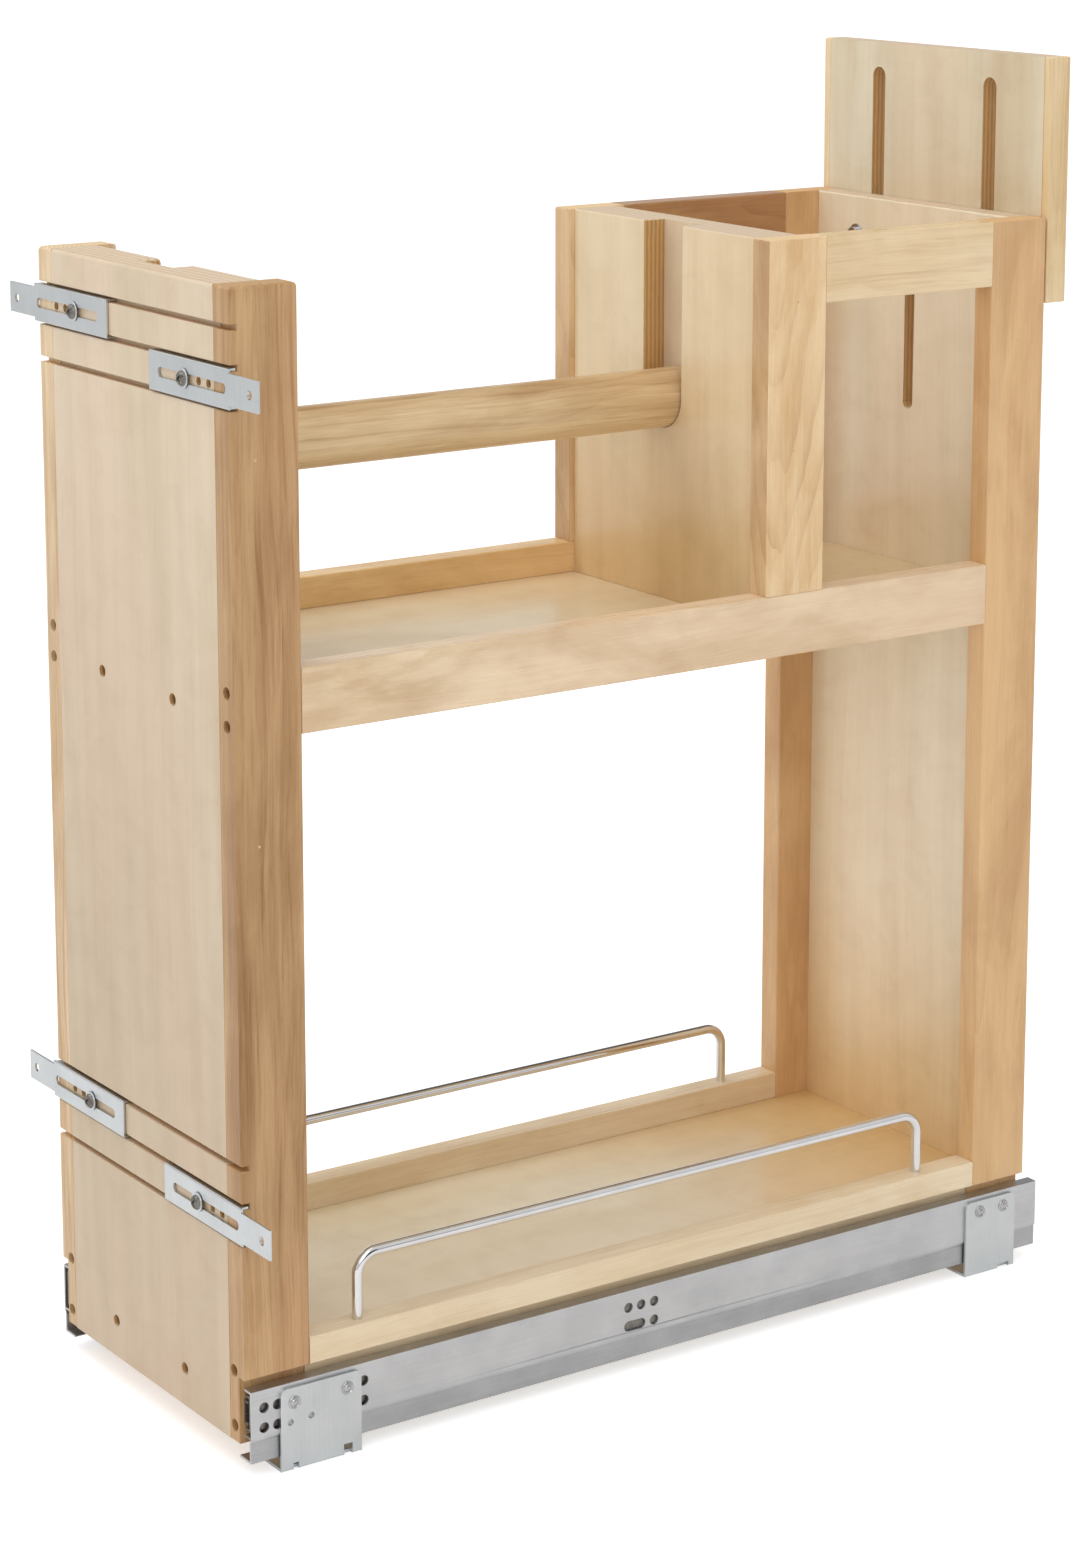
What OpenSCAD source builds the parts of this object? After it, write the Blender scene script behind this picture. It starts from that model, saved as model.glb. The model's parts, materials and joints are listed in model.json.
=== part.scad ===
// Pull-out pantry organiser for a narrow base cabinet.
// X runs across the width, the door side faces -Y, Z is up.
// The origin is under the middle of the whole object, on the cabinet floor.
// "left" and "right" are as seen by a person who stands at the door side.

/* [Wooden body] */
// Width over the wooden stiles
body_w = 213; // [190:1:300]
// Depth from the front panel to the back of the rear stiles
body_d = 553; // [520:1:600]
// Height of the wooden body
body_h = 631; // [600:1:700]
// Thickness of every stile and side rail
stile_t = 16; // [15:0.5:18]
// Depth of a stile, front to back
stile_d = 41; // [38:1:46]
// Thickness of one layer of panel plywood
panel_ply = 15; // [12:0.5:15]
// Thickness of the shelf plywood
shelf_ply = 12; // [9:0.5:12]

/* [Shelves and bin] */
// Height of the underside of the middle shelf rails
mid_rail_z = 391; // [360:1:400]
// Height of the middle shelf rails
mid_rail_h = 36; // [34:1:40]
// Height of the base tray rails
base_rail_h = 54; // [52:1:60]
// Height of the rail that closes the bin at the top
bin_rail_h = 38; // [30:1:45]
// Distance from the front face to the stiles of the bin wall
divider_y = 347.5; // [300:0.5:355]
// Diameter of the wire of the tray guards
wire_d = 6; // [5:0.5:7]
// Height of the wire's axis above the tray rail
wire_rise = 37; // [25:1:60]

/* [Towel rod] */
// Diameter of the wooden rod
rod_d = 35; // [28:1:36]
// Height of the rod's axis above the bottom of the body
rod_z = 528; // [500:1:560]

/* [Back riser] */
// Height of the sliding back riser
riser_h = 145; // [120:1:160]
// Height of its lower edge above the bottom of the body, as set
riser_z = 580; // [578:1:582]
// Width of its two slots
riser_slot_w = 12; // [8:0.5:14]

/* [Door brackets] */
// How far a bracket stands out past the side of the panel
tongue_out = 32; // [25:1:40]
// Length of the bracket's adjusting slot
door_slot_len = 72; // [50:1:74]
// Thickness of the bracket's steel
door_plate_t = 1.4; // [1:0.1:2]

/* [Slides] */
// Length of the cabinet member of a slide
slide_len = 559; // [540:1:564]
// Height of the slide's face
slide_h = 41.5; // [40:0.5:42]
// How far the tray can be pulled out
travel = 540; // [400:10:540]

/* [Hidden] */
$fn = 48;

// Colours
stile_colour = "burlywood";
ply_colour = "wheat";
rail_colour = "navajowhite";
zinc_colour = "lightsteelblue";
steel_colour = "silver";
dark_colour = "dimgray";

// Layout across the width, all measured from the middle
half_w = body_w / 2;
web_half = half_w - stile_t;
rail_x = half_w - stile_t / 2;
rabbet_d = 6.5;
rabbet_h = 38.5;
rabbet_x = half_w - rabbet_d;
groove_d = 5;
cut = 1;

// Heights of the boards above the bottom of the wooden body
mid_ply_z = mid_rail_z + 5;
base_ply_z = base_rail_h - 17 - shelf_ply;
mid_rail_top = mid_rail_z + mid_rail_h;
base_rail_top = base_rail_h;

// Depths, measured back from the front face
front_web_back = 2 * panel_ply;
divider_web_y = divider_y + 3.5;
divider_web_back = divider_web_y + 2 * panel_ply;
divider_back = divider_y + stile_d;
rear_y = body_d - stile_d;
rear_web_y = body_d - panel_ply;

// Rod seats: U slots open at the top
seat_gap = 0.3;
seat_r = rod_d / 2 + 1.5;
seat_z = rod_z + seat_r - rod_d / 2 - seat_gap;
rod_end_gap = 1;
rod_y = panel_ply + rod_end_gap;
rod_len = divider_web_y + panel_ply - rod_end_gap - rod_y;
rod_bevel = 1.5;

// Grooves in the front face for the door brackets, three above and three below
kerf_pitch = 21;
kerf_w = 3.2;
kerf_d = 5;
upper_kerf_z = body_h - kerf_pitch;
lower_kerf_z = 158;
KERF_TOPS = [upper_kerf_z, lower_kerf_z];

// Door brackets
door_gap = 0.3;
flange_in = 4;
door_body_h = kerf_pitch + 0.4;
door_body_len = 85;
door_body_out = 2;
tongue_h = 17;
tongue_hole_r = 2.5;
tongue_hole_in = 8.5;
door_slot_r = 2.75;
door_slot_in = 1;
door_screw_x = half_w - 45;
door_screw_r = 2.3;
door_screw_in = 14;
// Pilot holes for other settings, seen through the bracket's slot
SPARE_PILOTS = [half_w - 32, half_w - 21.5];
spare_pilot_r = 2.4;
spare_pilot_d = 10;
washer_r = 5.5;
washer_t = 1;
door_head_r = 4.2;
door_head_h = 2.4;
washer_y = -door_gap - door_plate_t - door_gap - washer_t;
door_head_out = -washer_y + door_head_h;
door_bore_r = door_screw_r + 0.05;
// Side (-1 left, 1 right) and height of the middle of each door bracket
upper_left_z = upper_kerf_z - kerf_pitch / 2;
upper_right_z = upper_left_z - kerf_pitch;
lower_left_z = lower_kerf_z - kerf_pitch / 2;
lower_right_z = lower_left_z - kerf_pitch;
DOOR_SPOTS = [
    [-1, upper_left_z], [1, upper_right_z], [-1, lower_left_z], [1, lower_right_z]
];

// Wood screws of the panels: a counterbore, then a shank hole
bore_r = 3.5;
shank_r = 2;
shank_hole_r = 2.05;
screw_head_h = 3;
screw_head_r = 3.4;
screw_len = 40;
stile_screw_len = 55;
short_screw_len = 24;
bore_d = 6;
rear_web_bore_d = 4;
shelf_screw_x = 40;
low_rail_screw_x = (web_half + rabbet_x) / 2;
mid_ply_mid = mid_ply_z + shelf_ply / 2;
cleat_h = 15;
cleat_d = 18;
cleat_z = base_ply_z - cleat_h;
cleat_mid = cleat_z + cleat_h / 2 + 4.5;
// Each entry: x, z of a screw that goes through a stile into a rail
STILE_SCREWS = [
    for (side = [-1, 1])
    for (spot = [
        [rail_x, mid_rail_top - 10],
        [rail_x, mid_rail_z + 8],
        [low_rail_screw_x, rabbet_h + 2.5],
        [low_rail_screw_x, 9.5]
    ])
    [side * spot[0], spot[1]]
];
// Each entry: x, z of a screw that goes through a panel into a shelf or cleat
WEB_SCREWS = [
    for (side = [-1, 1])
    for (height = [mid_ply_mid, cleat_mid])
    [side * shelf_screw_x, height]
];
bin_screw_z = body_h - bin_rail_h / 2;
BIN_SCREWS = [[-rail_x, bin_screw_z], [rail_x, bin_screw_z]];

// Wire guards of the tray
wire_r = wire_d / 2;
wire_bend = 12;
wire_front_y = 76;
wire_rear_y = 473;
wire_depth = 13;
wire_z = base_rail_top + wire_rise;

// Back riser
riser_gap = 1;
riser_t = 15;
riser_edge_w = 6;
riser_y = body_d + riser_gap;
riser_slot_x = 52;
riser_slot_low = 17;
riser_slot_high = riser_h - 15;
bolt_z = 607;
bolt_r = 2.9;
bolt_hole_r = 3;
bolt_head_r = 4.6;
bolt_head_h = 3;
bolt_washer_r = 6.5;
nut_washer_r = 9;
nut_af = 10;
nut_h = 4;
// Lift slot in the middle of the rear panel
centre_slot_w = 9;
centre_slot_low = 504;
centre_slot_high = 590;

// Slides, drawn for the right side and mirrored for the left
slide_front_y = 2;
slide_face_x = half_w + 3;
slide_top_z = 32.5;
slide_bottom_z = slide_top_z - slide_h;
sheet = 1.4;
thin_sheet = 1.2;
cage_sheet = 0.5;
ball_gap = 2.3;
ball_r = 1.05;
jog = 1;
jog_z = 4.5;
lip_z = jog_z + 0.3;
outer_lip_x = rabbet_x + 2;
flange_x = slide_face_x - jog - 12;
outer_web_x = slide_face_x - sheet;
member_len = slide_len - 9;
member_y = slide_front_y + 1;
// Each member: lowest and highest point, and the two faces of its upright web
middle_low = lip_z + sheet + ball_gap;
middle_high = slide_top_z - sheet - ball_gap;
middle_web_x = outer_web_x - 1.3;
middle_tip_x = rabbet_x + 1.6;
inner_low = middle_low + thin_sheet + ball_gap;
inner_high = middle_high - thin_sheet - ball_gap;
inner_tip_x = middle_web_x - thin_sheet - 1.2;
cage_len = 230;
cage_y = 150;
ball_count = 8;
ball_end = 8;
outer_cage_x = middle_web_x + 0.4;
inner_cage_x = middle_web_x - thin_sheet - 0.85;
outer_ball_x = rabbet_x + 4.5;
inner_ball_x = rabbet_x + 2.9;
ball_pocket_r = ball_r + 0.05;
// Centres of the balls along a cage
BALL_Y = [
    for (i = [0 : ball_count - 1])
    cage_y + ball_end + i * (cage_len - 2 * ball_end) / (ball_count - 1)
];
stop_len = 5;
// Screws that hold the inner members to the wood
slide_screw_z = (inner_low + inner_high) / 2;
SLIDE_SCREW_Y = [38, 300, 525];
slide_screw_r = 1.9;
slide_screw_in = 8;
slide_head_r = 3.6;
slide_head_h = 1.7;
// Holes in the cabinet members: distance back from the slide's front, height
hole_r = 3;
upper_hole_z = 22.2;
lower_hole_z = 10.8;
hole_column_y = [8, 16.5, 71, 267.5];
upper_hole_y = [249.3, 258.3];
long_hole = [249.3, 258.3];

// Cabinet brackets
bracket_t = 1.8;
foot_z = -17.5;
bracket_x = slide_face_x + bracket_t;
bracket_top = 30;
bracket_corner = 4;
bracket_foot = 18;
front_bracket_y = 19.5;
front_bracket_w = 51;
rear_bracket_y = 503.5;
rear_bracket_w = 39;
// Notches in a bracket's lower edge: distance from its front end, width, height
FRONT_NOTCHES = [[7.5, 3.5, 4], [39.5, 5.5, 6.5]];
REAR_NOTCHES = [[26, 9, 3]];
foot_hole_r = 2.6;
foot_hole_x = bracket_x - 10;
foot_hole_in = 10;
rivet_r = 2.4;
rivet_hole_r = 2.45;
rivet_head_r = 3.8;
rivet_head_h = 1.3;
spare_hole_r = 1.9;
FRONT_RIVETS = [[28, 21.5], [61.5, 21.5]];
REAR_RIVETS = [[514.5, 23], [533, 23]];
FRONT_SPARES = [[25.5, 10.5], [38.5, 11.5]];

// The body's front face stands at front_y, and its lower edge at body_z
body_z = -foot_z;
overall_d = door_head_out + riser_y + riser_t + washer_t + nut_h + door_gap;
front_y = door_head_out - overall_d / 2;

// Puts a shape given from the body's front lower edge into the object's frame
module placed() {
    translate([0, front_y, body_z])
        children();
}

// Mirrors a right-hand shape to the left
module left_side() {
    mirror([1, 0, 0])
        children();
}

// The right-hand shape and its mirror image
module both_sides() {
    children();
    left_side()
        children();
}

// A block from one corner to the opposite one
module block(low, high) {
    translate(low)
        cube(high - low);
}

// A round bar or hole along Y
module bar_y(x, y, z, r, len) {
    translate([x, y, z])
        rotate([-90, 0, 0])
            cylinder(r = r, h = len);
}

// A round bar or hole along X
module bar_x(x, y, z, r, len) {
    translate([x, y, z])
        rotate([0, 90, 0])
            cylinder(r = r, h = len);
}

// A slot cut along Y with round ends, upright
module upright_slot(x, y, low, high, w, len) {
    bar_y(x, y, low + w / 2, w / 2, len);
    bar_y(x, y, high - w / 2, w / 2, len);
    block([x - w / 2, y, low + w / 2], [x + w / 2, y + len, high - w / 2]);
}

// All six grooves for the door brackets
module kerfs() {
    for (top = KERF_TOPS)
        for (row = [0 : 2])
            block(
                [-half_w - cut, -cut, top - row * kerf_pitch - kerf_w / 2],
                [half_w + cut, kerf_d, top - row * kerf_pitch + kerf_w / 2]
            );
}

// Counterbore and shank hole of one screw that enters a panel from the front
module screw_hole(x, z, bore, len) {
    bar_y(x, -cut, z, bore_r, bore + cut);
    bar_y(x, bore - cut, z, shank_hole_r, len + cut);
}

// One wood screw, its head at the bottom of the counterbore
module wood_screw(x, z, bore, len) {
    bar_y(x, bore - screw_head_h, z, screw_head_r, screw_head_h);
    bar_y(x, bore, z, shank_r, len);
}

// Turns shapes drawn from the front face to enter from the back instead
module from_back() {
    translate([0, body_d, 0])
        mirror([0, 1, 0])
            children();
}

// The front panel's screw holes, for every wooden part they pass
module front_holes() {
    for (spot = STILE_SCREWS)
        screw_hole(spot[0], spot[1], bore_d, stile_screw_len);
    for (spot = WEB_SCREWS)
        screw_hole(spot[0], spot[1], bore_d, screw_len);
}

// The rear panel's screw holes, which enter from the back
module rear_holes() {
    from_back() {
        for (spot = concat(STILE_SCREWS, BIN_SCREWS))
            screw_hole(spot[0], spot[1], bore_d, stile_screw_len);
        for (spot = WEB_SCREWS)
            screw_hole(spot[0], spot[1], rear_web_bore_d, short_screw_len);
    }
}

// Pilot holes of the door bracket screws, and the spare ones beside them
module door_screw_holes() {
    for (spot = DOOR_SPOTS) {
        bar_y(spot[0] * door_screw_x, -cut, spot[1], door_bore_r, door_screw_in + 2 * cut);
        for (x = SPARE_PILOTS)
            bar_y(spot[0] * x, -cut, spot[1], spare_pilot_r, spare_pilot_d + cut);
    }
}

// A stile on the right side, from low to high, with the slide's rabbet if asked
module right_stile(y, low, rabbet) {
    difference() {
        block([web_half, y, low], [half_w, y + stile_d, body_h]);
        if (rabbet)
            block([rabbet_x, y - cut, -cut], [half_w + cut, y + stile_d + cut, rabbet_h]);
    }
}

module front_stile_blank() {
    color(stile_colour)
        placed()
            difference() {
                right_stile(0, 0, true);
                kerfs();
                front_holes();
                slide_pilot_holes();
            }
}

module front_stile_left() {
    left_side()
        front_stile_blank();
}

module front_stile_right() {
    front_stile_blank();
}

module front_skin_ply() {
    color(ply_colour)
        placed()
            difference() {
                block([-web_half, 0, 0], [web_half, panel_ply, body_h]);
                kerfs();
                front_holes();
                door_screw_holes();
            }
}

// Open-topped seat for the rod in a layer of plywood that starts at depth y
module rod_seat(y) {
    bar_y(0, y - cut, seat_z, seat_r, panel_ply + 2 * cut);
    block([-seat_r, y - cut, seat_z], [seat_r, y + panel_ply + cut, body_h + cut]);
}

module front_slotted_ply() {
    color(ply_colour)
        placed()
            difference() {
                block([-web_half, panel_ply, 0], [web_half, front_web_back, body_h]);
                rod_seat(panel_ply);
                front_holes();
                door_screw_holes();
            }
}

module divider_stile_blank() {
    color(stile_colour)
        placed()
            right_stile(divider_y, mid_rail_top, false);
}

module divider_stile_left() {
    left_side()
        divider_stile_blank();
}

module divider_stile_right() {
    divider_stile_blank();
}

module divider_slotted_ply() {
    color(ply_colour)
        placed()
            difference() {
                block(
                    [-web_half, divider_web_y, mid_ply_z + shelf_ply],
                    [web_half, divider_web_y + panel_ply, body_h]
                );
                rod_seat(divider_web_y);
            }
}

module divider_back_ply() {
    color(ply_colour)
        placed()
            block(
                [-web_half, divider_web_y + panel_ply, mid_ply_z + shelf_ply],
                [web_half, divider_web_back, body_h]
            );
}

module rear_stile_blank() {
    color(stile_colour)
        placed()
            difference() {
                right_stile(rear_y, 0, true);
                rear_holes();
                slide_pilot_holes();
            }
}

module rear_stile_left() {
    left_side()
        rear_stile_blank();
}

module rear_stile_right() {
    rear_stile_blank();
}

module rear_ply() {
    color(ply_colour)
        placed()
            difference() {
                block([-web_half, rear_web_y, 0], [web_half, body_d, body_h]);
                rear_holes();
                upright_slot(
                    0, rear_web_y - cut, centre_slot_low, centre_slot_high,
                    centre_slot_w, panel_ply + 2 * cut
                );
                both_sides()
                    bar_y(riser_slot_x, rear_web_y - cut, bolt_z, bolt_hole_r, panel_ply + 2 * cut);
            }
}

// A side rail between the front and rear stiles, grooved for its shelf
module right_side_rail(low, high, shelf_z) {
    difference() {
        block([web_half, stile_d, low], [half_w, rear_y, high]);
        block(
            [web_half - cut, stile_d - cut, shelf_z],
            [web_half + groove_d, rear_y + cut, shelf_z + shelf_ply]
        );
        front_holes();
        rear_holes();
    }
}

// A shelf board with its two long edges in the rails' grooves
module shelf_board(z) {
    difference() {
        union() {
            block([-web_half, front_web_back, z], [web_half, rear_web_y, z + shelf_ply]);
            block(
                [-web_half - groove_d, stile_d, z],
                [web_half + groove_d, rear_y, z + shelf_ply]
            );
        }
        front_holes();
        rear_holes();
    }
}

module mid_rail_blank() {
    color(rail_colour)
        placed()
            right_side_rail(mid_rail_z, mid_rail_top, mid_ply_z);
}

module mid_rail_left() {
    left_side()
        mid_rail_blank();
}

module mid_rail_right() {
    mid_rail_blank();
}

module mid_shelf_ply() {
    color(ply_colour)
        placed()
            shelf_board(mid_ply_z);
}

module base_rail_blank() {
    color(rail_colour)
        placed()
            difference() {
                right_side_rail(0, base_rail_top, base_ply_z);
                block([rabbet_x, stile_d - cut, -cut], [half_w + cut, rear_y + cut, rabbet_h]);
                for (y = [wire_front_y, wire_rear_y])
                    translate([rail_x, y, base_rail_top - wire_depth - cut])
                        cylinder(r = wire_r + 0.05, h = wire_depth + 2 * cut);
                slide_pilot_holes();
            }
}

module base_rail_left() {
    left_side()
        base_rail_blank();
}

module base_rail_right() {
    base_rail_blank();
}

module base_floor_ply() {
    color(ply_colour)
        placed()
            shelf_board(base_ply_z);
}

module floor_cleats() {
    color(rail_colour)
        placed()
            for (y = [front_web_back, rear_web_y - cleat_d])
                difference() {
                    block([-web_half, y, cleat_z], [web_half, y + cleat_d, base_ply_z]);
                    front_holes();
                    rear_holes();
                }
}

module bin_rail_blank() {
    color(rail_colour)
        placed()
            difference() {
                block([web_half, divider_back, body_h - bin_rail_h], [half_w, rear_y, body_h]);
                rear_holes();
            }
}

module bin_rail_left() {
    left_side()
        bin_rail_blank();
}

module bin_rail_right() {
    bin_rail_blank();
}

// One rounded corner of the wire, from upright to level, towards +Y
module wire_corner() {
    rotate([90, 0, 90])
        translate([wire_bend, 0, 0])
            rotate([0, 0, 90])
                rotate_extrude(angle = 90)
                    translate([wire_bend, 0])
                        circle(r = wire_r);
}

module wire_guard_blank() {
    color("gainsboro")
        placed()
            translate([rail_x, 0, 0])
                union() {
                    for (y = [wire_front_y, wire_rear_y])
                        translate([0, y, base_rail_top - wire_depth])
                            cylinder(r = wire_r, h = wire_depth + wire_rise - wire_bend);
                    bar_y(
                        0, wire_front_y + wire_bend, wire_z,
                        wire_r, wire_rear_y - wire_front_y - 2 * wire_bend
                    );
                    translate([0, wire_front_y, wire_z - wire_bend])
                        wire_corner();
                    translate([0, wire_rear_y, wire_z - wire_bend])
                        mirror([0, 1, 0])
                            wire_corner();
                }
}

module wire_guard_left() {
    left_side()
        wire_guard_blank();
}

module wire_guard_right() {
    wire_guard_blank();
}

module front_screws() {
    color(dark_colour)
        placed() {
            for (spot = STILE_SCREWS)
                wood_screw(spot[0], spot[1], bore_d, stile_screw_len);
            for (spot = WEB_SCREWS)
                wood_screw(spot[0], spot[1], bore_d, screw_len);
        }
}

module rear_screws() {
    color(dark_colour)
        placed()
            from_back() {
                for (spot = concat(STILE_SCREWS, BIN_SCREWS))
                    wood_screw(spot[0], spot[1], bore_d, stile_screw_len);
                for (spot = WEB_SCREWS)
                    wood_screw(spot[0], spot[1], rear_web_bore_d, short_screw_len);
            }
}

module towel_rod() {
    color(rail_colour)
        placed()
            translate([0, rod_y, rod_z])
                rotate([-90, 0, 0])
                    union() {
                        cylinder(r1 = rod_d / 2 - rod_bevel, r2 = rod_d / 2, h = rod_bevel);
                        translate([0, 0, rod_bevel])
                            cylinder(d = rod_d, h = rod_len - 2 * rod_bevel);
                        translate([0, 0, rod_len - rod_bevel])
                            cylinder(r1 = rod_d / 2, r2 = rod_d / 2 - rod_bevel, h = rod_bevel);
                    }
}

module riser_ply() {
    color(ply_colour)
        placed()
            translate([0, riser_y, riser_z])
                difference() {
                    block([riser_edge_w - half_w, 0, 0], [half_w - riser_edge_w, riser_t, riser_h]);
                    both_sides()
                        upright_slot(
                            riser_slot_x, -cut, riser_slot_low, riser_slot_high,
                            riser_slot_w, riser_t + 2 * cut
                        );
                }
}

module riser_edge_blank() {
    color(stile_colour)
        placed()
            translate([0, riser_y, riser_z])
                block([half_w - riser_edge_w, 0, 0], [half_w, riser_t, riser_h]);
}

module riser_edge_left() {
    left_side()
        riser_edge_blank();
}

module riser_edge_right() {
    riser_edge_blank();
}

// Bolts with washers: heads in the bin, ends behind the riser
module riser_bolts() {
    color(dark_colour)
        placed()
            both_sides() {
                bar_y(
                    riser_slot_x, rear_web_y - washer_t - bolt_head_h, bolt_z,
                    bolt_head_r, bolt_head_h
                );
                bar_y(riser_slot_x, rear_web_y - washer_t, bolt_z, bolt_washer_r, washer_t);
                bar_y(
                    riser_slot_x, rear_web_y, bolt_z,
                    bolt_r, riser_y + riser_t + door_gap + washer_t + nut_h - rear_web_y
                );
            }
}

module riser_nuts() {
    color(steel_colour)
        placed()
            both_sides()
                difference() {
                    union() {
                        bar_y(
                            riser_slot_x, riser_y + riser_t + door_gap, bolt_z,
                            nut_washer_r, washer_t
                        );
                        translate([riser_slot_x, riser_y + riser_t + door_gap + washer_t, bolt_z])
                            rotate([-90, 0, 0])
                                cylinder(r = nut_af / 2 / cos(30), h = nut_h, $fn = 6);
                    }
                    bar_y(riser_slot_x, riser_y + riser_t, bolt_z, bolt_r + 0.05, 3 * nut_h);
                }
}

// Steel plate with two edges bent into the grooves and a narrow tongue with a hole
module door_bracket(side, z) {
    y = -door_gap - door_plate_t;
    body_end = half_w + door_body_out;
    body_start = body_end - door_body_len;
    tongue_end = half_w + tongue_out;
    slot_end = half_w - door_slot_in - door_slot_r;
    slot_start = half_w - door_slot_in - door_slot_len + door_slot_r;
    color(zinc_colour)
        placed()
            mirror([side < 0 ? 1 : 0, 0, 0])
                translate([0, 0, z])
                    difference() {
                        union() {
                            block(
                                [body_start, y, -door_body_h / 2],
                                [body_end, y + door_plate_t, door_body_h / 2]
                            );
                            block(
                                [body_start, y, -tongue_h / 2],
                                [tongue_end, y + door_plate_t, tongue_h / 2]
                            );
                            for (edge = [-1, 1])
                                translate([0, 0, edge * (door_body_h - door_plate_t) / 2])
                                    block(
                                        [body_start, y, -door_plate_t / 2],
                                        [half_w, flange_in, door_plate_t / 2]
                                    );
                        }
                        for (x = [slot_start, slot_end])
                            bar_y(x, y - cut, 0, door_slot_r, door_plate_t + 2 * cut);
                        block(
                            [slot_start, y - cut, -door_slot_r],
                            [slot_end, y + door_plate_t + cut, door_slot_r]
                        );
                        bar_y(
                            tongue_end - tongue_hole_in, y - cut, 0,
                            tongue_hole_r, door_plate_t + 2 * cut
                        );
                    }
}

module door_bracket_upper_left() {
    door_bracket(-1, upper_left_z);
}

module door_bracket_upper_right() {
    door_bracket(1, upper_right_z);
}

module door_bracket_lower_left() {
    door_bracket(-1, lower_left_z);
}

module door_bracket_lower_right() {
    door_bracket(1, lower_right_z);
}

module door_bracket_screws() {
    color(steel_colour)
        placed()
            for (spot = DOOR_SPOTS) {
                bar_y(
                    spot[0] * door_screw_x, washer_y - door_head_h, spot[1],
                    door_head_r, door_head_h
                );
                bar_y(
                    spot[0] * door_screw_x, washer_y, spot[1],
                    door_screw_r, door_screw_in - washer_y
                );
            }
}

module door_bracket_washers() {
    color(zinc_colour)
        placed()
            for (spot = DOOR_SPOTS)
                difference() {
                    bar_y(spot[0] * door_screw_x, washer_y, spot[1], washer_r, washer_t);
                    bar_y(
                        spot[0] * door_screw_x, washer_y - cut, spot[1],
                        door_bore_r, washer_t + 2 * cut
                    );
                }
}

// A strip of the given cross section, x against z, along the slide
module along_slide(y, len) {
    translate([0, y + len, 0])
        rotate([90, 0, 0])
            linear_extrude(height = len)
                children();
}

// Holes along X through a slide member or bracket at [y, z]
module cross_holes(spots, r) {
    for (spot = spots)
        bar_x(slide_face_x - 4, spot[0], spot[1], r, 10);
}

module slide_holes() {
    cross_holes([for (y = hole_column_y) [slide_front_y + y, upper_hole_z]], hole_r);
    cross_holes([for (y = hole_column_y) [slide_front_y + y, lower_hole_z]], hole_r);
    cross_holes([for (y = upper_hole_y) [slide_front_y + y, upper_hole_z]], hole_r);
    cross_holes([for (y = long_hole) [slide_front_y + y, lower_hole_z]], hole_r);
    translate([slide_face_x - 4, slide_front_y + long_hole[0], lower_hole_z - hole_r])
        cube([10, long_hole[1] - long_hole[0], 2 * hole_r]);
}

// Cabinet member: upright web with a jog, foot flange and two ball tracks
module slide_outer_blank() {
    color(steel_colour)
        placed()
            difference() {
                along_slide(slide_front_y, slide_len)
                    union() {
                        polygon([
                            [slide_face_x, slide_top_z],
                            [slide_face_x, jog_z],
                            [slide_face_x - jog, jog_z - 1.5 * jog],
                            [slide_face_x - jog, slide_bottom_z],
                            [flange_x, slide_bottom_z],
                            [flange_x, slide_bottom_z + sheet],
                            [outer_web_x - jog, slide_bottom_z + sheet],
                            [outer_web_x - jog, jog_z - 1.5 * jog],
                            [outer_web_x, jog_z],
                            [outer_web_x, slide_top_z - sheet],
                            [outer_lip_x, slide_top_z - sheet],
                            [outer_lip_x, slide_top_z]
                        ]);
                        translate([outer_lip_x, lip_z])
                            square([outer_web_x - outer_lip_x + 0.5, sheet]);
                    }
                slide_holes();
                cross_holes(FRONT_RIVETS, rivet_hole_r);
                cross_holes(REAR_RIVETS, rivet_hole_r);
            }
}

module slide_outer_left() {
    left_side()
        slide_outer_blank();
}

module slide_outer_right() {
    slide_outer_blank();
}

// A channel: upright web from x to x + t, with a flange at each end out to tip
module channel(x, t, tip, low, high) {
    translate([x, low])
        square([t, high - low]);
    for (z = [low, high - t])
        translate([min(x, tip), z])
            square([max(x + t, tip) - min(x, tip), t]);
}

module slide_middle_blank() {
    color(steel_colour)
        placed()
            along_slide(member_y, member_len)
                channel(middle_web_x - thin_sheet, thin_sheet, middle_tip_x, middle_low, middle_high);
}

module slide_middle_left() {
    left_side()
        slide_middle_blank();
}

module slide_middle_right() {
    slide_middle_blank();
}

// Screws of the inner members, and their holes in the wood
module slide_pilot_holes() {
    for (y = SLIDE_SCREW_Y)
        bar_x(rabbet_x - slide_screw_in - cut, y, slide_screw_z, slide_screw_r + 0.05, slide_screw_in + 4);
}

module slide_inner_blank() {
    color(steel_colour)
        placed()
            difference() {
                along_slide(member_y, member_len)
                    channel(rabbet_x, thin_sheet, inner_tip_x, inner_low, inner_high);
                slide_pilot_holes();
            }
}

module slide_inner_left() {
    left_side()
        slide_inner_blank();
}

module slide_inner_right() {
    slide_inner_blank();
}

module slide_screws() {
    color(dark_colour)
        placed()
            both_sides()
                for (y = SLIDE_SCREW_Y) {
                    bar_x(
                        rabbet_x - slide_screw_in, y, slide_screw_z,
                        slide_screw_r, slide_screw_in + thin_sheet
                    );
                    bar_x(rabbet_x + thin_sheet, y, slide_screw_z, slide_head_r, slide_head_h);
                }
}

// Rubber buffers at the back end of the cabinet members
module slide_end_stops() {
    color(dark_colour)
        placed()
            both_sides()
                block(
                    [outer_lip_x, slide_front_y + slide_len - stop_len, lip_z + sheet],
                    [outer_web_x, slide_front_y + slide_len, slide_top_z - sheet]
                );
}

// Cage: thin channel whose flanges run in the middle of the two ball gaps
module cage(web_x, tip_x, low, high) {
    along_slide(cage_y, cage_len)
        channel(
            web_x, cage_sheet, tip_x,
            low - (ball_gap + cage_sheet) / 2, high + (ball_gap + cage_sheet) / 2
        );
}

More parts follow.
